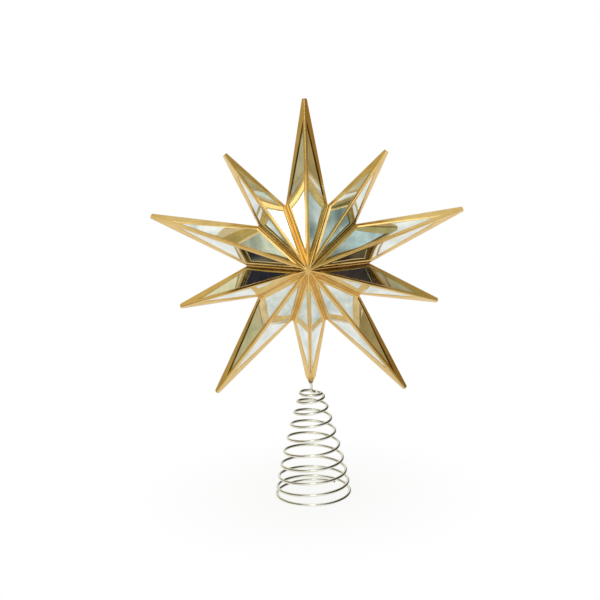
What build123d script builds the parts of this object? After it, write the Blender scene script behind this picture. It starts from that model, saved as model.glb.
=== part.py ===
"""A ten-pointed mirrored star on a conical wire spring, made to stand on the top of a tree.

The origin is on the floor under the middle of the spring. +Z is up and the star's front looks along -Y.
"""
import os
from math import atan2, cos, degrees, pi, radians, sin

from build123d import *

# Star outline, as seen from the front
point_count = 10
long_reach = 156.0  # star centre to the blunt end of a long point
short_reach = 130.0  # star centre to the blunt end of a short point
tip_width = 4.6  # width of a blunt end
tip_round = 1.4  # rounding of the two corners of a blunt end
notch_radius = 58.3  # star centre to the corner between two points
notch_angle = 20.0  # degrees from a long point's axis to the corner beside it
foot_shoulder = 113.6  # star centre to where the lowest point starts to close round the wire
foot_width = 9.4  # width of the lowest point at that shoulder
foot_reach = 119.6  # star centre to the end of the lowest point

# Depth of each half of the star
apex_depth = 42.0  # rise of the facets from the rim to the middle of the star
rim_depth = 1.0  # straight edge under the facets
shell_depth = 5.6  # thickness of the frame, measured front to back
ridge_trim = 0.6  # height taken off each ridge, which leaves a narrow flat
valley_fill = 0.4  # height of the narrow flat laid in each valley

# Frame bars and the mirrors behind them, measured on a facet
ridge_bar = 4.6  # ridge to the edge of the window
valley_bar = 5.1  # valley to the edge of the window, carried on to the middle of the star
valley_bar_corner = 4.4  # the same, at the corner between two points
edge_bar = 4.2  # outer edge to the window, at the corner between two points
edge_bar_tip = 10.2  # outer edge to the window, carried on to the sharp end of the point
bevel_width = 1.6  # sloped border round each window
bevel_depth = 0.7
pane_recess = 0.8  # frame face to mirror face
pane_thickness = 1.0
pane_lap = 0.8  # how far a mirror reaches behind the frame
pane_clearance = 0.15

# Pegs that line up the two halves of the frame
peg_corners = (0, 3, 6, 9)
peg_radius = 38.0  # star centre to a peg
peg_diameter = 2.6
peg_length = 4.0
peg_clearance = 0.1
boss_diameter = 4.4
boss_root = 2.4  # how far a boss reaches into the frame

# Spring of round wire, drawn with flat sides
wire_diameter = 2.9
wire_sides = 6
turns = 9.765
start_angle = 53.0  # degrees from +X to the wire's lower end
foot_turns = 0.66  # part of the lowest turn that lies flat
ring_turns = 0.55  # part of the top turn that lies flat
foot_diameter = 75.1  # outside of the lowest turn
ring_diameter = 25.0  # outside of the top turn
spring_rise = 101.85  # climb of the wire from the lowest turn to the top one
closing = 0.17  # how much closer the turns lie at both ends than on average
flare = 1.28  # above 1 the cone draws in faster towards its top
stem_bend = 4.0  # radius of the bend from the top turn into the stem
stem_gap = 9.8  # top turn to the star's lower end
foot_flat = wire_diameter / 10  # depth of the flat that the spring stands on

# Ferrule crimped on the stem, which turns in the lowest point
ferrule_diameter = 5.0
ferrule_length = 26.0
ferrule_wall_clearance = 0.05
collar_diameter = 7.4
collar_length = 1.8
collar_drop = 3.0  # top of the ferrule to the top of its collar
ferrule_cover = 4.0  # solid frame above the ferrule
ferrule_lift = 7.0  # star's lower end to the ferrule's lower end
running_clearance = 0.06
stem_hole_clearance = 0.25
wire_tip = 1.0  # wire standing out of the ferrule's top

margin = 1.0  # how far a cutting shape runs past what it cuts
step_angle = 360.0 / point_count
lowest = point_count // 2
wire_radius = wire_diameter / 2
foot_height = wire_radius * cos(pi / wire_sides) - foot_flat
ring_height = foot_height + spring_rise
star_foot = ring_height + stem_gap
star_height = star_foot + foot_reach
ferrule_foot = star_foot + ferrule_lift
ferrule_top = ferrule_foot + ferrule_length
collar_top = ferrule_top - collar_drop
block_top = ferrule_top + ferrule_cover
stem_hole_radius = wire_radius + stem_hole_clearance

front = Plane(origin=(0, 0, star_height), x_dir=(1, 0, 0), z_dir=(0, -1, 0))
back = Plane(origin=(0, 0, star_height), x_dir=(-1, 0, 0), z_dir=(0, 1, 0))


def polar(radius, angle):
    """A place on the star's own plane, with the angle in degrees clockwise from its top."""
    return Vector(radius * sin(radians(angle)), radius * cos(radians(angle)))


def corner_angle(index):
    """Angle of the corner between point index and the next one clockwise."""
    if index % 2 == 0:
        return step_angle * index + notch_angle
    return step_angle * (index + 1) - notch_angle


def corner_half_angle(index):
    """Angle from the axis of a point to the corners beside it."""
    return notch_angle if index % 2 == 0 else step_angle - notch_angle


def blunt_reach(index):
    """Star centre to the end of a point's straight sides."""
    if index == lowest:
        return foot_shoulder
    return long_reach if index % 2 == 0 else short_reach


def sharp_reach(index):
    """Star centre to where a point's sides would meet if it weren't blunt."""
    reach = blunt_reach(index)
    width = foot_width if index == lowest else tip_width
    corner = polar(notch_radius, corner_half_angle(index))
    return corner.Y + (reach - corner.Y) * corner.X / (corner.X - width / 2)


def star_outline(scale):
    """The sharp star's corners, in order, scaled about its centre."""
    places = []
    for index in range(point_count):
        places.append(polar(sharp_reach(index), step_angle * index) * scale)
        places.append(polar(notch_radius, corner_angle(index)) * scale)
    return places


def peg_places():
    """Pegs and bosses under four of the valleys, alike on both sides of the star's middle."""
    return [polar(peg_radius, corner_angle(index)) for index in peg_corners]


def valley_outline(rise):
    """The ten-sided shape whose sides run across the valleys, a little above them."""
    side = notch_radius * (apex_depth + rise) / apex_depth
    return [
        polar(side / cos(radians(corner_half_angle(index))), step_angle * index)
        for index in range(point_count)
    ]


def pyramid(half, outline, base, tip):
    """A solid over an outline on one half of the star, from a flat base up to a point."""
    floor = [half.from_local_coords((place.X, place.Y, base)) for place in outline]
    peak = half.from_local_coords((0, 0, tip))
    sides = [Face(Wire.make_polygon([near, far, peak])) for near, far in zip(floor, floor[1:] + floor[:1])]
    return Solid(Shell([Face(Wire.make_polygon(floor)), *sides]))


def cavity(half):
    """The hollow of one half, whose facets lie parallel to the outer ones."""
    height = rim_depth + apex_depth - shell_depth
    return pyramid(half, star_outline((height + margin) / apex_depth), -margin, height)


def facet(half, index, side):
    """Plane of one facet, from the apex along the ridge, and its tip and corner on that plane."""
    apex = half.from_local_coords((0, 0, rim_depth + apex_depth))
    tip_place = polar(sharp_reach(index), step_angle * index)
    corner_place = polar(notch_radius, step_angle * index + side * corner_half_angle(index))
    tip = half.from_local_coords((tip_place.X, tip_place.Y, rim_depth))
    corner = half.from_local_coords((corner_place.X, corner_place.Y, rim_depth))
    outward = (corner - apex).cross(tip - apex) * side
    plane = Plane(origin=apex, x_dir=tip - apex, z_dir=outward)
    return plane, plane.to_local_coords(tip), plane.to_local_coords(corner)


def crossing(start, along, other, direction):
    """Where two lines of a plane meet."""
    gap = other - start
    return start + along * (gap.cross(direction).Z / along.cross(direction).Z)


def inset(tip, corner, less):
    """Corners of a window in a facet, with each bar narrowed by less."""
    turn = 1 if corner.Y > 0 else -1
    ridge, valley, edge = tip.normalized(), corner.normalized(), (tip - corner).normalized()
    ridge_start = Vector(-ridge.Y, ridge.X) * turn * (ridge_bar - less)
    away = Vector(valley.Y, -valley.X) * turn
    valley_start = away * (valley_bar - less)
    valley_run = corner + away * (valley_bar_corner - less) - valley_start
    inward = Vector(edge.Y, -edge.X) * -turn
    if inward.dot(corner) > 0:
        inward = inward * -1
    edge_start = corner + inward * (edge_bar - less)
    edge_end = tip + inward * (edge_bar_tip - less)
    edge_run = edge_end - edge_start
    return [
        crossing(ridge_start, ridge, valley_start, valley_run),
        crossing(ridge_start, ridge, edge_start, edge_run),
        crossing(valley_start, valley_run, edge_start, edge_run),
    ]


def point_plane(half, index, reach):
    """Plane across a point at a distance from the star's centre, looking outwards."""
    place = polar(reach, step_angle * index)
    outward = half.from_local_coords((place.X, place.Y, 0)) - half.origin
    return Plane(origin=half.origin + outward, x_dir=half.z_dir, z_dir=outward)


def ridge_plane(half, index):
    """Plane of the narrow flat along a ridge, which starts over the star's centre."""
    apex = half.from_local_coords((0, 0, rim_depth + apex_depth))
    place = polar(sharp_reach(index), step_angle * index)
    tip = half.from_local_coords((place.X, place.Y, rim_depth))
    along = (tip - apex).normalized()
    across = along.cross(half.z_dir)
    return Plane(origin=apex, x_dir=along, z_dir=across.cross(along)).offset(-ridge_trim)


def make_block(half):
    """Solid filling of the lowest point, which holds the ferrule."""
    with BuildPart() as block:
        add(cavity(half))
        with BuildSketch(Plane.XY.offset(star_foot)):
            Rectangle(2 * notch_radius, 2 * notch_radius)
        extrude(amount=block_top - star_foot, mode=Mode.INTERSECT)
        split(bisect_by=half, keep=Keep.TOP)
    return block.part


def prism(plane, places, depth):
    """A straight solid over a straight-sided outline."""
    with BuildSketch(plane) as shape:
        with BuildLine():
            Polyline(*places, close=True)
        make_face()
    return extrude(shape.sketch, amount=depth)


def foot_cut(half):
    """What is taken off square below the lowest point."""
    with BuildSketch(point_plane(half, lowest, foot_reach)) as foot:
        Rectangle(2 * apex_depth, 4 * foot_width)
    return extrude(foot.sketch, amount=sharp_reach(lowest) - foot_reach + margin)


def tip_cut(half, index):
    """What is taken off round the blunt end of a point, which leaves its two corners rounded."""
    reach = blunt_reach(index)
    along = polar(1, step_angle * index)
    across = Vector(along.Y, -along.X)
    start, end = along * (reach - tip_width), along * (sharp_reach(index) + margin)
    inside = along * (reach - tip_width - margin)
    with BuildSketch(half) as tip:
        with BuildLine():
            wide = across * foot_width
            Polyline(start - wide, start + wide, end + wide, end - wide, close=True)
        make_face()
        with BuildLine():
            kept, open_end = across * (tip_width / 2), across * tip_width
            Polyline(
                inside - open_end,
                along * reach - kept,
                along * reach + kept,
                inside + open_end,
                close=True,
            )
        make_face(mode=Mode.SUBTRACT)
        fillet(tip.vertices().sort_by_distance(along * reach)[:2], tip_round)
    return extrude(tip.sketch, amount=apex_depth, both=True)


def end_cuts(half):
    """What is taken off to leave the flats along the ridges and the blunt ends."""
    cuts = [foot_cut(half)]
    for index in range(point_count):
        with BuildSketch(ridge_plane(half, index)) as ridge:
            with Locations((long_reach / 2, 0)):
                Rectangle(long_reach + 2 * tip_width, 2 * ridge_bar)
        cuts.append(extrude(ridge.sketch, amount=2 * (ridge_trim + valley_fill)))
        if index != lowest:
            cuts.append(tip_cut(half, index))
    return cuts


def window_cuts(half):
    """Windows with a sloped border, and the mirror seats behind them."""
    cuts = []
    for index in range(point_count):
        for side in (-1, 1):
            plane, tip, corner = facet(half, index, side)
            sight = inset(tip, corner, 0)
            cuts.append(prism(plane.offset(-pane_recess), inset(tip, corner, pane_lap), -shell_depth))
            cuts.append(prism(plane.offset(margin), sight, -shell_depth - margin))
            with BuildSketch(plane.offset(-bevel_depth)) as inner:
                with BuildLine():
                    Polyline(*sight, close=True)
                make_face()
            with BuildSketch(plane) as outer:
                with BuildLine():
                    Polyline(*inset(tip, corner, bevel_width), close=True)
                make_face()
            cuts.append(loft([inner.sketch.face(), outer.sketch.face()], ruled=True))
    return cuts


def make_shell(half):
    """One openwork half of the frame, with its windows, mirror seats, bosses and stem bearing."""
    block = make_block(half)
    cuts = end_cuts(half) + window_cuts(half)
    with BuildPart() as shell:
        for outline in (star_outline(1), valley_outline(valley_fill)):
            with BuildSketch(half):
                with BuildLine():
                    Polyline(*outline, close=True)
                make_face()
            extrude(amount=rim_depth)
        add(pyramid(half, star_outline(1), rim_depth, rim_depth + apex_depth))
        add(pyramid(half, valley_outline(valley_fill), rim_depth, rim_depth + apex_depth + valley_fill))
        add(cavity(half), mode=Mode.SUBTRACT)
        with BuildSketch(half):
            with Locations(*peg_places()):
                Circle(boss_diameter / 2)
        valley = rim_depth + apex_depth * (1 - peg_radius / notch_radius)
        extrude(amount=valley - shell_depth + boss_root)
        add(cuts, mode=Mode.SUBTRACT)

        # Bearing for the ferrule in the lowest point
        add(block)
        with BuildSketch(Plane.XY.offset(ferrule_foot - running_clearance)):
            Circle(ferrule_diameter / 2 + running_clearance)
        extrude(amount=ferrule_length + 2 * running_clearance, mode=Mode.SUBTRACT)
        with BuildSketch(Plane.XY.offset(collar_top + running_clearance)):
            Circle(collar_diameter / 2 + running_clearance)
        extrude(amount=-collar_length - 2 * running_clearance, mode=Mode.SUBTRACT)
        with BuildSketch(Plane.XY.offset(star_foot - margin)):
            Circle(stem_hole_radius)
        extrude(amount=block_top - star_foot + 2 * margin, mode=Mode.SUBTRACT)

        # Nose that closes round the wire
        nose_slope = (foot_width / 2 - stem_hole_radius) / (foot_reach - foot_shoulder)
        with BuildSketch(Plane.XZ):
            with BuildLine():
                Polyline(
                    (stem_hole_radius, star_foot),
                    (foot_width, star_foot),
                    (foot_width, star_foot + (foot_width - stem_hole_radius) / nose_slope),
                    close=True,
                )
            make_face()
        revolve(axis=Axis.Z, mode=Mode.SUBTRACT)
    return shell.part


def make_front_frame(shell):
    """The front half, with the pegs that line it up."""
    with BuildPart() as frame:
        add(shell)
        with BuildSketch(front.offset(-peg_length)):
            with Locations(*peg_places()):
                Circle(peg_diameter / 2)
        extrude(amount=peg_length + margin)
    return frame.part


def make_back_frame(shell):
    """The back half, the same shell turned about, with holes for the pegs."""
    with BuildPart() as frame:
        add(shell, rotation=(0, 0, 180))
        with BuildSketch(back):
            with Locations(*peg_places()):
                Circle(peg_diameter / 2 + peg_clearance)
        extrude(amount=peg_length + peg_clearance, mode=Mode.SUBTRACT)
    return frame.part


def make_mirror(half, index, side):
    """One mirror, seated from inside against the frame."""
    plane, tip, corner = facet(half, index, side)
    with BuildPart() as mirror_pane:
        with BuildSketch(plane.offset(-pane_recess)):
            with BuildLine():
                Polyline(*inset(tip, corner, pane_lap - pane_clearance), close=True)
            make_face()
        extrude(amount=-pane_thickness)
    return mirror_pane.part


def coil_place(turn):
    """Centre of the wire after a number of turns from its lower end."""
    share = min(max((turn - foot_turns) / (turns - foot_turns - ring_turns), 0), 1)
    climb = share - closing * sin(2 * pi * share) / (2 * pi)
    foot_radius = foot_diameter / 2 - wire_radius
    ring_radius = ring_diameter / 2 - wire_radius
    radius = foot_radius - (foot_radius - ring_radius) * climb**flare
    angle = radians(start_angle + 360 * turn)
    return Vector(radius * cos(angle), radius * sin(angle), foot_height + spring_rise * climb)


def coil_heading(turn):
    """Direction of the wire, taken across a short arc."""
    near = 1 / 16
    return (coil_place(turn + near) - coil_place(turn - near)).normalized()


def biarc_middle(start, end, start_heading, end_heading):
    """Where two arcs meet that join two places in their own directions."""
    span = end - start
    lean = span.dot(start_heading + end_heading)
    spread = 2 * (1 - start_heading.dot(end_heading))
    reach = ((lean**2 + spread * span.dot(span)) ** 0.5 - lean) / spread
    middle = (start + end + (start_heading - end_heading) * reach) * 0.5
    return middle, (end - end_heading * reach - start - start_heading * reach).normalized()


def make_spring():
    """The wire in one piece, from its lower end round the cone and up the stem."""
    steps = round(4 * turns)
    with BuildPart() as spring:
        with BuildLine() as wire:
            for step in range(steps):
                here, there = turns * step / steps, turns * (step + 1) / steps
                start, end = coil_place(here), coil_place(there)
                middle, heading = biarc_middle(start, end, coil_heading(here), coil_heading(there))
                TangentArc(start, middle, tangent=coil_heading(here))
                TangentArc(middle, end, tangent=heading)
            ring_end = coil_place(turns)
            heading = coil_heading(turns)
            hook_turn = 2 * degrees(atan2(ring_diameter / 2 - wire_radius, stem_bend))
            inward = heading.rotate(Axis.Z, hook_turn)
            hook_end = Vector(0, 0, ring_height) - inward * stem_bend
            TangentArc(ring_end, hook_end, tangent=heading)
            TangentArc(hook_end, (0, 0, ring_height + stem_bend), tangent=inward)
            Line((0, 0, ring_height + stem_bend), (0, 0, ferrule_top + wire_tip))
        with BuildSketch(Plane(origin=coil_place(0), x_dir=(0, 0, 1), z_dir=coil_heading(0))):
            RegularPolygon(wire_radius, wire_sides, rotation=180 / wire_sides)
        sweep()
        with BuildSketch(Plane.XY):
            Rectangle(2 * foot_diameter, 2 * foot_diameter)
        extrude(amount=-wire_diameter, mode=Mode.SUBTRACT)
    print("spring gap to itself", round(least_gap(wire.wire()), 2), "mm")
    print("spring wire length", round(wire.wire().length, 1), "mm")
    return spring.part


def least_gap(wire):
    """Least clear distance between stretches of the wire that lie over half a small turn apart."""
    count = round(wire.length / wire_radius)
    places = [wire.position_at(number / count) for number in range(count + 1)]
    apart = round(ring_diameter / wire_radius)
    return min(
        (place - other).length
        for number, place in enumerate(places)
        for other in places[number + apart :]
    ) - wire_diameter


def make_ferrule():
    """Collared sleeve crimped on the wire's stem."""
    bore = wire_radius + ferrule_wall_clearance
    with BuildPart() as ferrule:
        with BuildSketch(Plane.XY.offset(ferrule_foot)):
            Circle(ferrule_diameter / 2)
            Circle(bore, mode=Mode.SUBTRACT)
        extrude(amount=ferrule_length)
        with BuildSketch(Plane.XY.offset(collar_top)):
            Circle(collar_diameter / 2)
            Circle(bore, mode=Mode.SUBTRACT)
        extrude(amount=-collar_length)
    return ferrule.part


def write(part, name):
    """Name a finished piece and save it."""
    part.label = name
    export_step(part, f"parts/{name}.step")


os.makedirs("parts", exist_ok=True)
write(make_spring(), "coil_spring")
write(make_ferrule(), "stem_ferrule")
star_shell = make_shell(front)
write(make_front_frame(star_shell), "front_frame")
write(make_back_frame(star_shell), "back_frame")
for face, half in (("front", front), ("back", back)):
    for index in range(point_count):
        for side, hand in ((-1, "left"), (1, "right")):
            write(make_mirror(half, index, side), f"{face}_mirror_{index + 1:02d}_{hand}")
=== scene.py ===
# %% [markdown]
# A ten-pointed tree-topper star: mirror panes in a cast gold frame, carried on a cone of bright wire.
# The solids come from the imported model, which gives every piece its size and place.
# This lesson dresses them: softer castings, a round wire, and finishes that catch the light.

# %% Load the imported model
from math import atan2, cos, pi, radians, sin

import bmesh
import bpy
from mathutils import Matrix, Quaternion, Vector


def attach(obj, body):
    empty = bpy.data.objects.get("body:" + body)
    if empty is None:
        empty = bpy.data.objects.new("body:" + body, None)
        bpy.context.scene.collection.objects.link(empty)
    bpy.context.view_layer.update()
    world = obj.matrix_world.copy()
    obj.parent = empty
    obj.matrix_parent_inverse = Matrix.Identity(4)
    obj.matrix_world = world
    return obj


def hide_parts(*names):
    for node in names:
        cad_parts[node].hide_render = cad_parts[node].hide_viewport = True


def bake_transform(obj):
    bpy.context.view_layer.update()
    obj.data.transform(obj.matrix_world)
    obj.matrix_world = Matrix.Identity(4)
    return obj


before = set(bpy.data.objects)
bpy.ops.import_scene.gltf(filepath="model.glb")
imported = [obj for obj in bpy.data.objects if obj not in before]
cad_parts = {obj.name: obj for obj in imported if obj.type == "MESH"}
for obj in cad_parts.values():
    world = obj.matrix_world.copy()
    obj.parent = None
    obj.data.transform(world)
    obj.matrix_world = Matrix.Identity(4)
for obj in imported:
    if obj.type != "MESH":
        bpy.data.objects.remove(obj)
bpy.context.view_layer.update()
scene = bpy.context.scene

# %% [markdown]
# The picture was taken from a little above the star's middle with a long lens.
# A long lens keeps the lengths of the points true, because none of them is much nearer than another.
# A camera could be aimed with a constraint, but a fixed place and turn are easier to repeat.
# The star sits high in the picture, so the lens is shifted, and a small roll gives the star's lean.

# %% Camera
star_middle = Vector((0, 0, 0.23222))
eye_distance, eye_rise, eye_roll = 1.248, 10.3, radians(-1.32)


def direction(turn, rise):
    turn, rise = radians(turn), radians(rise)
    return Vector((sin(turn) * cos(rise), -cos(turn) * cos(rise), sin(rise)))


def stand_at(thing, spot, roll=0.0):
    thing.location = spot
    thing.rotation_mode = "QUATERNION"
    aim = (star_middle - spot).to_track_quat("-Z", "Y")
    thing.rotation_quaternion = aim @ Quaternion((0, 0, 1), roll)
    scene.collection.objects.link(thing)


lens = bpy.data.cameras.new("camera")
lens.sensor_width, lens.lens = 36.0, 78.17
lens.shift_x, lens.shift_y = -0.0135, -0.0630
camera = bpy.data.objects.new("camera", lens)
stand_at(camera, star_middle + eye_distance * direction(0, eye_rise), eye_roll)
scene.camera = camera
print("camera", [round(value, 3) for value in camera.location])

# %% [markdown]
# Every finish here is a node tree on one Principled shader, read in Object coordinates.
# The trees could be wired by hand in the shader editor. As code they can be read and repeated.
# A few helpers add a node, a noise, a ramp of tones or one tone over another.
# With them each finish reads as a short recipe.

# %% Node helpers
def start_finish(name):
    finish = bpy.data.materials.new(name)
    finish.use_nodes = True
    return finish, finish.node_tree.nodes["Principled BSDF"].inputs


def link(finish, source, target):
    finish.node_tree.links.new(source, target)


def add_node(finish, kind, values=None, **links):
    node = finish.node_tree.nodes.new("ShaderNode" + kind)
    for key, value in (values or {}).items():
        if key in node.inputs:
            node.inputs[key].default_value = value
        else:
            setattr(node, key, value)
    for socket, source in links.items():
        link(finish, source, node.inputs[socket])
    return node


def add_noise(finish, scale, detail, roughness=0.5):
    place = add_node(finish, "TexCoord").outputs["Object"]
    values = {"Scale": scale, "Detail": detail, "Roughness": roughness}
    return add_node(finish, "TexNoise", values, Vector=place).outputs["Fac"]


def add_ramp(finish, source, *stops):
    ramp = add_node(finish, "ValToRGB", Fac=source)
    marks = ramp.color_ramp.elements
    halfway = 0.5
    while len(marks) < len(stops):
        marks.new(halfway)
    for mark, (place, tone) in zip(marks, stops):
        mark.position = place
        mark.color = (*tone, 1.0)
    return ramp.outputs["Color"]


def add_bump(finish, height, strength, distance):
    values = {"Strength": strength, "Distance": distance}
    return add_node(finish, "Bump", values, Height=height)


def grey(value):
    return (value, value, value)


# %% [markdown]
# A Mix node lays one tone over another. It has sockets for numbers, directions and colours in one row.
# The places of the colour sockets in that row are given names here, once for all finishes.

# %% Tone over tone
mix_factor, mix_under, mix_over, mix_result = 0, 6, 7, 2


def lay_over(finish, factor, under, tone):
    mix = add_node(finish, "Mix", {"data_type": "RGBA"})
    link(finish, factor, mix.inputs[mix_factor])
    if isinstance(under, tuple):
        mix.inputs[mix_under].default_value = (*under, 1.0)
    else:
        link(finish, under, mix.inputs[mix_under])
    mix.inputs[mix_over].default_value = (*tone, 1.0)
    return mix.outputs[mix_result]


# %% [markdown]
# The frame is a casting plated in a warm antique gold and lacquered: a clear coat over a satin metal.
# The colour is uneven from the brush, and the grooves beside the panes are darkened with painted shade.
# An ambient occlusion node finds the grooves by itself, so no mask has to be painted.

# %% Antique gold
gold, sockets = start_finish("antique_gold")
cloud = add_noise(gold, scale=45.0, detail=5.0, roughness=0.6)
dark_gold, mid_gold, pale_gold = (0.70, 0.44, 0.12), (0.80, 0.54, 0.18), (0.90, 0.64, 0.26)
gold_tone = add_ramp(gold, cloud, (0.30, dark_gold), (0.52, mid_gold), (0.75, pale_gold))
# Painted shade: ambient occlusion darkens the gold to a deep brown in the grooves and recesses.
shelter = add_node(gold, "AmbientOcclusion", {"Distance": 0.0022, "samples": 8}).outputs["AO"]
occlusion_shade = add_ramp(gold, shelter, (0.40, grey(1.0)), (0.82, grey(0.0)))
link(gold, lay_over(gold, occlusion_shade, gold_tone, (0.26, 0.115, 0.014)), sockets["Base Color"])
link(gold, add_ramp(gold, cloud, (0.3, grey(0.12)), (0.7, grey(0.24))), sockets["Roughness"])
swell = add_noise(gold, scale=160.0, detail=2.0)
soft = add_bump(gold, swell, strength=0.12, distance=0.0006)
grain = add_noise(gold, scale=700.0, detail=3.0)
fine = add_bump(gold, grain, strength=0.12, distance=0.0002)
link(gold, soft.outputs["Normal"], fine.inputs["Normal"])
link(gold, fine.outputs["Normal"], sockets["Normal"])
sockets["Metallic"].default_value = 1.0
sockets["Coat Weight"].default_value = 0.7
sockets["Coat Roughness"].default_value = 0.12
print("finish", gold.name)

# %% [markdown]
# A dark matt finish is painted as shade in the valleys and in the sloped border along the outer side of
# each window.
# There it shows as a thin dark line beside the gold bar.
# It could be painted as a mask, but a matt finish of its own, laid on those faces, stays sharp.

# %% Painted shade in the grooves
groove_shade_finish, sockets = start_finish("painted_groove_shade")
cloud = add_noise(groove_shade_finish, scale=120.0, detail=5.0)
# A dark brown painted as the shade that falls in the grooves.
groove_shade_tone = add_ramp(groove_shade_finish, cloud, (0.3, (0.07, 0.040, 0.011)), (0.7, (0.19, 0.11, 0.032)))
link(groove_shade_finish, groove_shade_tone, sockets["Base Color"])
link(groove_shade_finish, add_ramp(groove_shade_finish, cloud, (0.3, grey(0.55)), (0.7, grey(0.75))), sockets["Roughness"])
sockets["Specular IOR Level"].default_value = 0.15
print("finish", groove_shade_finish.name)

# %% [markdown]
# The ridges and the rims carry a fine pale line: a painted highlight standing in for the glint of the
# lamps, together with a little wear of the plating.
# It is a finish of its own on the narrow faces there.

# %% Worn edges with painted highlight
worn_highlight, sockets = start_finish("worn_gold_highlight")
cloud = add_noise(worn_highlight, scale=80.0, detail=4.0)
# A pale gold painted as the highlight along the ridges and rims, with some wear.
worn_highlight_tone = add_ramp(worn_highlight, cloud, (0.35, (0.88, 0.66, 0.33)), (0.65, (1.0, 0.86, 0.58)))
link(worn_highlight, worn_highlight_tone, sockets["Base Color"])
link(worn_highlight, add_ramp(worn_highlight, cloud, (0.3, grey(0.12)), (0.7, grey(0.28))), sockets["Roughness"])
sockets["Metallic"].default_value = 0.9
print("finish", worn_highlight.name)

# %% [markdown]
# The painted shade, the painted highlight and the wear go differently on a casting's ridges, valleys and
# rims.
# These could be picked by hand in edit mode, but the model may be packed again with other sizes.
# So each kind is known by the way its faces tilt outward, by its length and by its sharpness.

# %% Kinds of faces and edges
outside_tilt, bar_length, ridge_angle = 0.3, 0.02, radians(32)
border_least_tilt, border_most_tilt, border_off_centre = 0.79, 0.93, 0.012


def is_outer_border(face):
    edge = max(face.edges, key=lambda edge: edge.calc_length())
    start, end = (corner.co - star_middle for corner in edge.verts)
    along = (end - start).normalized()
    off_centre = abs(start.x * along.z - start.z * along.x)
    sloped = border_least_tilt < abs(face.normal.y) < border_most_tilt
    return sloped and off_centre > border_off_centre


def tilts_outward(edge, side):
    return sorted(side * face.normal.y for face in edge.link_faces)


def is_outside(edge, side):
    return len(edge.link_faces) == 2 and tilts_outward(edge, side)[0] > outside_tilt


def is_valley(edge, side):
    return is_outside(edge, side) and not edge.is_convex and edge.calc_length() > bar_length


def is_ridge(edge, side):
    long_and_convex = edge.is_convex and edge.calc_length() > bar_length
    return is_outside(edge, side) and long_and_convex and edge.calc_face_angle() > ridge_angle


def is_rim(edge, side):
    tilts = tilts_outward(edge, side)
    turns_over = len(tilts) == 2 and abs(tilts[0]) < outside_tilt < tilts[1]
    return turns_over and edge.is_convex and edge.calc_length() > bar_length


# %% [markdown]
# Each half of the frame is one openwork casting.
# The solid has sharp edges, and a real casting never does.
# A bevel modifier would round every edge alike, so bmesh bevels take one kind of edge at a time.
# The narrow flats in the valleys get the painted shade first, and those on the ridges the painted
# highlight.
# Narrow bevels then fill the valleys and round the ridges and rims.
# A wider bevel rounds the other long edges outside.
# At the end, corners that the bevels left in one place are merged, so that no face is without area.
# Short edges round the pegs and the stem hole stay as they are, because nobody sees them.

# %% Softening one half
edge_round, ridge_round, valley_fill = 0.0007, 0.0004, 0.0003
long_edge, crease, flat_angle = 0.003, radians(14), radians(0.5)
same_corner, same_corner_after, no_length = 2e-6, 1e-5, 1e-6
gold_face, shade_face, worn_highlight_face = range(3)


def paint(faces, finish):
    for face in faces:
        face.material_index = finish


def smooth(faces):
    for face in faces:
        face.smooth = True


def bevel(form, edges, width, segments):
    made = bmesh.ops.bevel(
        form, geom=edges, offset=width, offset_type="OFFSET", segments=segments, profile=0.5,
        affect="EDGES", clamp_overlap=False, material=-1,
    )
    form.normal_update()
    return made["faces"]


def flats_between(form, kind, side):
    return [face for face in form.faces if sum(kind(edge, side) for edge in face.edges) > 1]


def is_plain_edge(edge, side):
    long_and_convex = edge.is_convex and edge.calc_length() > long_edge
    sharp = is_outside(edge, side) and long_and_convex and edge.calc_face_angle() > crease
    return sharp and all(face.material_index == gold_face for face in edge.link_faces)


def soften(form, side):
    bmesh.ops.remove_doubles(form, verts=form.verts, dist=same_corner)
    bmesh.ops.dissolve_limit(form, angle_limit=flat_angle, verts=form.verts, edges=form.edges)
    form.normal_update()
    borders = [face for face in form.faces if is_outer_border(face)]
    valleys = flats_between(form, is_valley, side)
    crests = flats_between(form, is_ridge, side)
    paint(form.faces, gold_face)
    # Painted shade: the outer borders and the valley flats take the dark matt finish.
    paint(borders + valleys, shade_face)
    # Painted highlight: the narrow flats on the ridges take the pale finish.
    paint(crests, worn_highlight_face)
    creases = [edge for edge in form.edges if is_valley(edge, side)]
    # The valley bevels take the painted shade too.
    paint(bevel(form, creases, valley_fill, segments=1), shade_face)
    ridges = [edge for edge in form.edges if is_ridge(edge, side) or is_rim(edge, side)]
    # The ridge and rim bevels carry the painted highlight.
    worn_and_highlit = bevel(form, ridges, ridge_round, segments=2)
    paint(worn_and_highlit, worn_highlight_face)
    smooth(worn_and_highlit)
    edges = [edge for edge in form.edges if is_plain_edge(edge, side)]
    smooth(bevel(form, edges, edge_round, segments=3))
    print(len(borders), "borders and", len(valleys), "valleys shade_painted,", end=" ")
    print(len(ridges), "ridges and rims worn,", len(edges), "other edges rounded")
    bmesh.ops.remove_doubles(form, verts=form.verts, dist=same_corner_after)
    bmesh.ops.dissolve_degenerate(form, edges=form.edges, dist=no_length)


# %% [markdown]
# The two halves are the same casting turned about, so one function makes both.
# Each is a softened copy that stands in for its solid and turns with the star.

# %% Softened castings
front_side, back_side = -1, 1


def soften_casting(node, name, side):
    form = bmesh.new()
    form.from_mesh(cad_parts[node].data)
    soften(form, side)
    mesh = bpy.data.meshes.new(name)
    form.to_mesh(mesh)
    form.free()
    mesh.materials.clear()
    for finish in (gold, groove_shade_finish, worn_highlight):
        mesh.materials.append(finish)
    casting = bpy.data.objects.new(name, mesh)
    scene.collection.objects.link(casting)
    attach(casting, "star")
    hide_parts(node)
    print(name, len(mesh.polygons), "faces")


soften_casting("front_frame", "front_casting", front_side)
soften_casting("back_frame", "back_casting", back_side)

# %% [markdown]
# The panes are thin silvered mirrors, a little grey-green with age.
# Thin glass is never quite flat, so the reflections of the neighbouring points come out bent.
# The panes could be bowed as meshes, but then they would leave their seats.
# A very long, shallow bump bends the reflections without changing the pane's shape.

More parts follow.
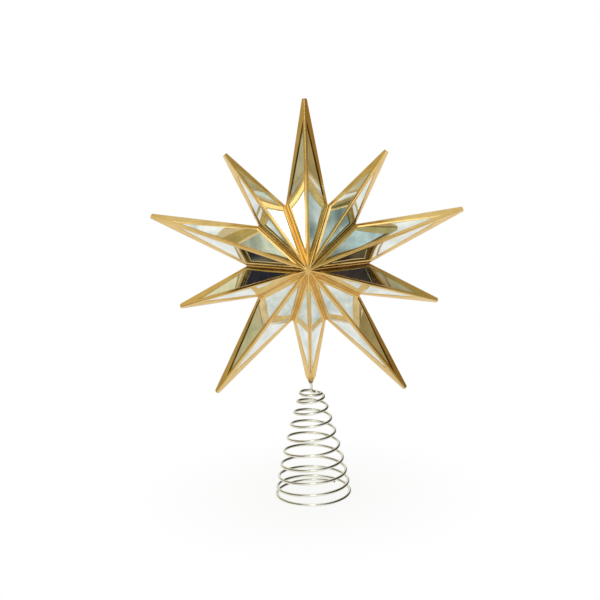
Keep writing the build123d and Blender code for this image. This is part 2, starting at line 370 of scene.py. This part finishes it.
# %% Aged mirror
mirror, sockets = start_finish("aged_mirror")
cloud = add_noise(mirror, scale=55.0, detail=5.0, roughness=0.6)
dim_silver, mid_silver, pale_silver = (0.70, 0.75, 0.72), (0.84, 0.865, 0.83), (0.94, 0.95, 0.92)
silver = add_ramp(mirror, cloud, (0.36, dim_silver), (0.5, mid_silver), (0.66, pale_silver))
link(mirror, silver, sockets["Base Color"])
smudge = add_noise(mirror, scale=130.0, detail=6.0, roughness=0.7)
link(mirror, add_ramp(mirror, smudge, (0.4, grey(0.025)), (0.8, grey(0.09))), sockets["Roughness"])
waves = add_noise(mirror, scale=14.0, detail=0.0)
bow = add_bump(mirror, waves, strength=1.0, distance=0.0060)
link(mirror, bow.outputs["Normal"], sockets["Normal"])
sockets["Metallic"].default_value = 1.0
panes = [node for name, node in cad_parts.items() if "_mirror_" in name]
for pane in panes:
    pane.data.materials.clear()
    pane.data.materials.append(mirror)
print("finish", mirror.name, "on", len(panes), "panes")

# %% [markdown]
# The spring is one length of nickel-plated wire, wound into a cone that closes up a little at both ends.
# It could be a screw modifier, but the cone flares and the pitch changes.
# So the wire follows a formula turn by turn, from the flat lowest turn up to the flat top ring.

# %% Line of the coil
wire_radius, wire_turns, start_angle = 0.00145, 9.765, 53.0
foot_turns, ring_turns, foot_flat, cad_sides = 0.66, 0.55, 0.00029, 6
foot_outside, ring_outside, spring_rise = 0.03755, 0.0125, 0.10185
foot_radius, ring_radius = foot_outside - wire_radius, ring_outside - wire_radius
foot_height = wire_radius * cos(pi / cad_sides) - foot_flat
closing, flare, coil_steps = 0.17, 1.28, 480


def coil_place(turn):
    share = min(max((turn - foot_turns) / (wire_turns - foot_turns - ring_turns), 0), 1)
    climb = share - closing * sin(2 * pi * share) / (2 * pi)
    radius = foot_radius - (foot_radius - ring_radius) * climb**flare
    angle = radians(start_angle + 360 * turn)
    return Vector((radius * cos(angle), radius * sin(angle), foot_height + spring_rise * climb))


line = [coil_place(wire_turns * step / coil_steps) for step in range(coil_steps + 1)]
print("coil", round(wire_turns, 3), "turns,", len(line), "points")

# %% [markdown]
# The top ring turns inward in a smaller hook, and the wire then bends up into a straight stem.
# The hook is the arc that leaves the ring without a kink and meets the bend at the middle.

# %% Hook and stem
stem_bend, stem_top, hook_steps, bend_steps = 0.004, 0.1466, 12, 8
ring_end, end_angle = line[-1], radians(start_angle + 360 * wire_turns)
ring_level = Vector((0, 0, ring_end.z))
hook_radius = (ring_radius**2 - stem_bend**2) / (2 * ring_radius)
hook_turn = 2 * atan2(ring_radius, stem_bend)
hook = Vector((ring_end.x, ring_end.y, 0)) * (1 - hook_radius / ring_radius) + ring_level
for step in range(1, hook_steps + 1):
    angle = end_angle + hook_turn * step / hook_steps
    line.append(hook + hook_radius * Vector((cos(angle), sin(angle), 0)))
back = line[-1] - ring_level
for step in range(1, bend_steps + 1):
    angle = pi / 2 * step / bend_steps
    climb = ring_end.z + stem_bend * (1 - cos(angle))
    line.append(back * (1 - sin(angle)) + Vector((0, 0, climb)))
line.append(Vector((0, 0, stem_top)))
print("wire length", round(sum((b - a).length for a, b in zip(line, line[1:])), 3), "m")

# %% [markdown]
# A curve with a round bevel draws the wire along this line.
# It could stay a curve, but as a mesh it can stretch with the spring's bounce.
# The lowest turn is pressed flat below, so that the spring stands on the floor without going through it.

# %% Wire as a round tube
same_place, sharp_end = 1e-6, radians(40)
path = bpy.data.curves.new("wire_path", "CURVE")
path.dimensions = "3D"
path.bevel_depth, path.bevel_resolution, path.use_fill_caps = wire_radius, 4, True
run = path.splines.new("POLY")
run.points.add(len(line) - 1)
for point, spot in zip(run.points, line):
    point.co = (*spot, 1.0)
drawn = bpy.data.objects.new("wire_path", path)
scene.collection.objects.link(drawn)
bpy.context.view_layer.update()
evaluated = drawn.evaluated_get(bpy.context.evaluated_depsgraph_get())
wire_mesh = bpy.data.meshes.new_from_object(evaluated)
bpy.data.objects.remove(drawn)
form = bmesh.new()
form.from_mesh(wire_mesh)
bmesh.ops.remove_doubles(form, verts=form.verts, dist=same_place)
for corner in form.verts:
    corner.co.z = max(corner.co.z, 0.0)
bmesh.ops.recalc_face_normals(form, faces=form.faces)
smooth(form.faces)
form.to_mesh(wire_mesh)
form.free()
wire_mesh.name = "spring_wire"
wire_mesh.set_sharp_from_angle(angle=sharp_end)
spring = bpy.data.objects.new("spring_wire", wire_mesh)
scene.collection.objects.link(spring)
print("wire", len(wire_mesh.polygons), "faces")

# %% [markdown]
# Bright nickel is nearly white with a trace of yellow, and drawn wire has faint marks on its surface.
# It also carries a painted shade, standing in for dark reflections: darker where the surface faces
# toward the right, and less toward the left.
# The shade could be painted as a mask, but laid by the way the surface faces it runs along every turn of
# the coil.

# %% Bright nickel
nickel, sockets = start_finish("bright_nickel")
cloud = add_noise(nickel, scale=90.0, detail=4.0)
bright = add_ramp(nickel, cloud, (0.3, (0.84, 0.81, 0.70)), (0.7, (0.97, 0.95, 0.87)))
outward = add_node(nickel, "NewGeometry").outputs["Normal"]
# Painted shade and painted reflection: the wire is darkened where its surface faces these two fixed
# directions.
wire_shade_tone = (0.045, 0.045, 0.032)
right_shade_way, left_shade_way = (0.75, -0.43, 0.50), (-0.47, -0.67, 0.57)
for toward, start, full, depth in ((right_shade_way, 0.66, 0.88, 0.90), (left_shade_way, 0.86, 0.95, 0.60)):
    near = add_node(nickel, "VectorMath", {"operation": "DOT_PRODUCT"}, Vector=outward)
    near.inputs[1].default_value = toward
    painted_wire_shade = add_ramp(nickel, near.outputs["Value"], (start, grey(0.0)), (full, grey(depth)))
    bright = lay_over(nickel, painted_wire_shade, bright, wire_shade_tone)
link(nickel, bright, sockets["Base Color"])
link(nickel, add_ramp(nickel, cloud, (0.3, grey(0.03)), (0.75, grey(0.08))), sockets["Roughness"])
marks = add_noise(nickel, scale=900.0, detail=2.0)
scratch = add_bump(nickel, marks, strength=0.08, distance=0.0001)
link(nickel, scratch.outputs["Normal"], sockets["Normal"])
sockets["Metallic"].default_value = 1.0
wire_mesh.materials.clear()
wire_mesh.materials.append(nickel)
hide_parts("coil_spring")
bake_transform(spring)
print("finish", nickel.name)

# %% [markdown]
# The ferrule is a plain brass sleeve inside the lowest point.
# It hardly shows, so the solid keeps its own mesh and only gets a turned satin brass.

# %% Satin brass
brass, sockets = start_finish("satin_brass")
cloud = add_noise(brass, scale=300.0, detail=4.0)
brass_tone = add_ramp(brass, cloud, (0.3, (0.48, 0.33, 0.11)), (0.7, (0.62, 0.46, 0.19)))
link(brass, brass_tone, sockets["Base Color"])
link(brass, add_ramp(brass, cloud, (0.3, grey(0.25)), (0.7, grey(0.4))), sockets["Roughness"])
sockets["Metallic"].default_value = 1.0
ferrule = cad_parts["stem_ferrule"]
ferrule.data.materials.clear()
ferrule.data.materials.append(brass)
print("finish", brass.name)

# %% [markdown]
# The picture has a plain white ground.
# A large sheet with a bend at the back would do, but a flat one is enough if it fades into the room.

# %% Floor
floor_form = bmesh.new()
bmesh.ops.create_grid(floor_form, x_segments=1, y_segments=1, size=1.5)
floor_mesh = bpy.data.meshes.new("floor")
floor_form.to_mesh(floor_mesh)
floor_form.free()
floor = bpy.data.objects.new("floor", floor_mesh)
scene.collection.objects.link(floor)
print("floor", floor.name)

# %% [markdown]
# The sheet takes the soft shadow near the spring's foot.
# Further out it mostly shines white, so it runs into the white room without a line.
# The mirrors and the wire see it a little dimmer than the camera does.

# %% White paper
seen_in_mirrors, shadow_radius, white_radius, foot_shine = 0.78, 0.04, 0.18, 0.88
paper = bpy.data.materials.new("white_paper")
paper.use_nodes = True
paper.node_tree.nodes.clear()


def add_math(operation, first, second):
    node = add_node(paper, "Math", {"operation": operation})
    link(paper, first, node.inputs[0])
    if isinstance(second, float):
        node.inputs[1].default_value = second
    else:
        link(paper, second, node.inputs[1])
    return node.outputs[0]


place = add_node(paper, "TexCoord").outputs["Object"]
spread = add_node(paper, "VectorMath", {"operation": "LENGTH"}, Vector=place).outputs["Value"]
limits = {"From Min": shadow_radius, "From Max": white_radius, "To Min": foot_shine, "To Max": 1.0}
fade = add_node(paper, "MapRange", limits, Value=spread).outputs["Result"]
ray = add_node(paper, "LightPath").outputs
dimmer = add_math("MULTIPLY", ray["Is Glossy Ray"], seen_in_mirrors)
seen = add_math("MAXIMUM", ray["Is Camera Ray"], dimmer)
surface = add_node(paper, "MixShader", Fac=add_math("MULTIPLY", seen, fade))
matt = add_node(paper, "BsdfDiffuse", {"Color": (0.9, 0.9, 0.9, 1.0)})
glow = add_node(paper, "Emission", {"Strength": 1.0})
link(paper, matt.outputs[0], surface.inputs[1])
link(paper, glow.outputs[0], surface.inputs[2])
add_node(paper, "OutputMaterial", Surface=surface.outputs[0])
floor_mesh.materials.append(paper)
print("finish", paper.name)

# %% [markdown]
# A mirror has no colour of its own: it shows the room. This room is white behind and below the star.
# Its side walls are dark, its back corners are a warm brown on the right and a paler one on the left.
# Real walls and cards could stand round the star, but they would also throw their own shadows.
# So each soft patch is a cone of directions with a tone, laid over the ones before.
# Its numbers are its turn and rise, the half angles where it is full and where it ends, and its tone.

# %% Room of soft patches
room = bpy.data.worlds.new("white_room")
scene.world = room
room.use_nodes = True
way = add_node(room, "TexCoord").outputs["Generated"]


def room_patch(under, turn, rise, full, none, tone):
    near = add_node(room, "VectorMath", {"operation": "DOT_PRODUCT"}, Vector=way)
    near.inputs[1].default_value = direction(turn, rise)
    limits = {"From Min": cos(radians(none)), "From Max": cos(radians(full))}
    mask = add_node(room, "MapRange", limits, Value=near.outputs["Value"])
    mask.interpolation_type = "SMOOTHSTEP"
    return lay_over(room, mask.outputs["Result"], under, tone)


tones = (0.86, 0.88, 0.83)
for patch in (
    (66, 12, 20, 40, (0.03, 0.027, 0.022)),
    (-66, 10, 16, 36, (0.05, 0.05, 0.035)),
    (-108, 15, 22, 50, (0.53, 0.47, 0.26)),
    (108, 8, 14, 42, (0.36, 0.26, 0.10)),
    (118, 46, 9, 24, (0.40, 0.36, 0.21)),
    (-117, 46, 9, 24, (0.74, 0.68, 0.43)),
    (61, 34, 6, 14, (0.60, 0.76, 0.78)),
    (-61, 34, 6, 14, (0.74, 0.76, 0.60)),
    (47, 53, 8, 15, (0.26, 0.34, 0.32)),
    (-55, 50, 4, 9, (0.27, 0.27, 0.15)),
    (14, 64, 5, 12, (0.50, 0.62, 0.64)),
    (74, 7, 9, 17, (0.05, 0.035, 0.035)),
    (-74, 7, 9, 17, (0.03, 0.03, 0.04)),
    (102, 7, 3, 6, (0.06, 0.07, 0.055)),
):
    tones = room_patch(tones, *patch)
print("room has", len(room.node_tree.nodes), "nodes")

# %% [markdown]
# A slow noise clouds all the tones, so that no pane is one flat colour.
# The camera sees plain white, because only the rays that have met the star go on to the tones.

# %% Clouds and white ground
blotch = add_node(room, "TexNoise", {"Scale": 7.0}, Vector=way).outputs["Fac"]
limits = {"From Min": 0.38, "From Max": 0.62, "To Min": 0.72, "To Max": 1.12}
cloudy = add_node(room, "MapRange", limits, Value=blotch).outputs["Result"]
drift = add_node(room, "VectorMath", {"operation": "SCALE"}, Vector=tones)
link(room, cloudy, drift.inputs["Scale"])
from_camera = add_node(room, "LightPath").outputs["Is Camera Ray"]
ground = lay_over(room, from_camera, drift.outputs["Vector"], grey(1.0))
link(room, ground, room.node_tree.nodes["Background"].inputs["Color"])
print("room has", len(room.node_tree.nodes), "nodes with its clouds")

# %% [markdown]
# Two soft lamps do the rest.
# The large one stands high on the front left and gives the upper panes their white flash.
# The small one stands over the camera, where no pane shows it.
# It draws the highlights along the ridges and the wire.
# A square lamp's power is worked out from its size, so that its brightness can be chosen.

# %% Lamps
lamp_distance = 1.6


def soft_lamp(name, turn, rise, size, brightness):
    lamp = bpy.data.lights.new(name, "AREA")
    lamp.shape, lamp.size, lamp.energy = "SQUARE", size, pi * size * size * brightness
    stand = bpy.data.objects.new(name, lamp)
    stand_at(stand, star_middle + lamp_distance * direction(turn, rise))
    print("lamp", name, round(lamp.energy, 2), "W")


soft_lamp("left_lamp", turn=-27, rise=60, size=0.74, brightness=1.2)
soft_lamp("front_lamp", turn=-4, rise=38, size=0.45, brightness=2.2)

# %% [markdown]
# The plain Standard view keeps the tones as they were mixed.

# %% Picture settings
scene.view_settings.view_transform = "Standard"
